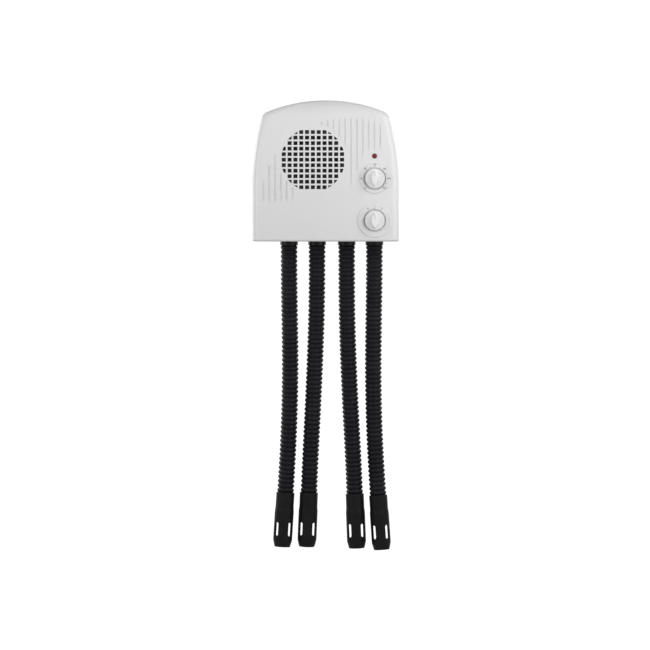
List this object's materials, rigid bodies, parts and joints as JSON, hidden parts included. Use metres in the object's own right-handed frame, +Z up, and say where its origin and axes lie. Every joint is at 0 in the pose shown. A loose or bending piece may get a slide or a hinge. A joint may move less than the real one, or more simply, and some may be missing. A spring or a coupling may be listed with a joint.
{
  "type": "boot dryer",
  "caption": "Wall-hung warm-air boot and shoe dryer: white fan-heater casing with timer and mode knobs and corrugated hoses ending in nozzles.",
  "frame": {"origin": "middle of the wall plate's four screw holes, on the wall plane", "axes": "+X to the viewer's right across the front, +Y into the wall, +Z up"},
  "size_m": [0.25, 0.1355, 0.7718],
  "materials": {
    "casing": "off-white satin ABS with a very fine moulded grain",
    "rear_casing": "off-white ABS, duller than the front",
    "knob": "off-white satin ABS",
    "lamp_red": "clear dark red polycarbonate",
    "hose": "charcoal black corrugated polyethylene",
    "nozzle": "black smooth polypropylene",
    "collar": "black smooth polypropylene",
    "wall_plate": "zinc-grey powder coat",
    "screw_steel": "zinc-plated steel",
    "motor_plate": "zinc-plated pressed steel",
    "laminations": "stacked silicon steel sheets, varnished",
    "copper": "enamelled copper wire",
    "bronze": "sintered bronze and brass",
    "shaft_steel": "ground steel",
    "fan_plastic": "dark grey glass-filled nylon",
    "duct_plastic": "dark grey heat-resistant plastic",
    "heater_tray": "mica board",
    "heater_metal": "finned aluminium heating block",
    "contact_body": "black phenolic",
    "spindle_plastic": "natural acetal",
    "gland": "black rubber",
    "terminal": "natural nylon"
  },
  "bodies": {
    "casing": {"wall_plate": "wall_plate", "rear_cover": "rear_casing", "front_housing": "casing", "housing_screws": "screw_steel", "motor_bracket": "motor_plate", "motor_yoke": "motor_plate", "motor_stator": "laminations", "motor_coil": "copper", "motor_bolts": "screw_steel", "motor_sleeves": "motor_plate", "motor_bushes": "bronze", "motor_screws": "screw_steel", "fan_scroll": "duct_plastic", "scroll_inlet": "duct_plastic", "scroll_screws": "screw_steel", "air_manifold": "duct_plastic", "manifold_screws": "screw_steel", "heater_frame": "heater_tray", "heater_block": "heater_metal", "thermal_cutout": "contact_body", "timer_unit": "contact_body", "mode_switch": "contact_body", "pilot_lens": "lamp_red", "pilot_lamp": "contact_body", "cord_gland": "gland", "terminal_block": "terminal", "terminal_screws": "bronze", "hose_collar_1": "collar", "hose_1": "hose", "nozzle_1": "nozzle", "hose_collar_2": "collar", "hose_2": "hose", "nozzle_2": "nozzle", "hose_collar_3": "collar", "hose_3": "hose", "nozzle_3": "nozzle", "hose_collar_4": "collar", "hose_4": "hose", "nozzle_4": "nozzle"},
    "fan_rotor": {"motor_shaft": "shaft_steel", "impeller": "fan_plastic", "impeller_nut": "bronze"},
    "timer_dial": {"timer_spindle": "spindle_plastic", "timer_knob": "knob"},
    "mode_dial": {"mode_spindle": "spindle_plastic", "mode_knob": "knob"}
  },
  "joints": [
    {"name": "fan_spin", "type": "hinge", "parent": "casing", "child": "fan_rotor", "pos_m": [-0.0214, -0.05, 0.0185], "axis": [0, 1, 0], "continuous": true},
    {"name": "timer_turn", "type": "hinge", "parent": "casing", "child": "timer_dial", "pos_m": [0.0835, -0.12, -0.0132], "axis": [0, 1, 0], "range_deg": [-135, 135]},
    {"name": "mode_turn", "type": "hinge", "parent": "casing", "child": "mode_dial", "pos_m": [0.0835, -0.12, -0.0842], "axis": [0, 1, 0], "range_deg": [-30, 30]}
  ]
}
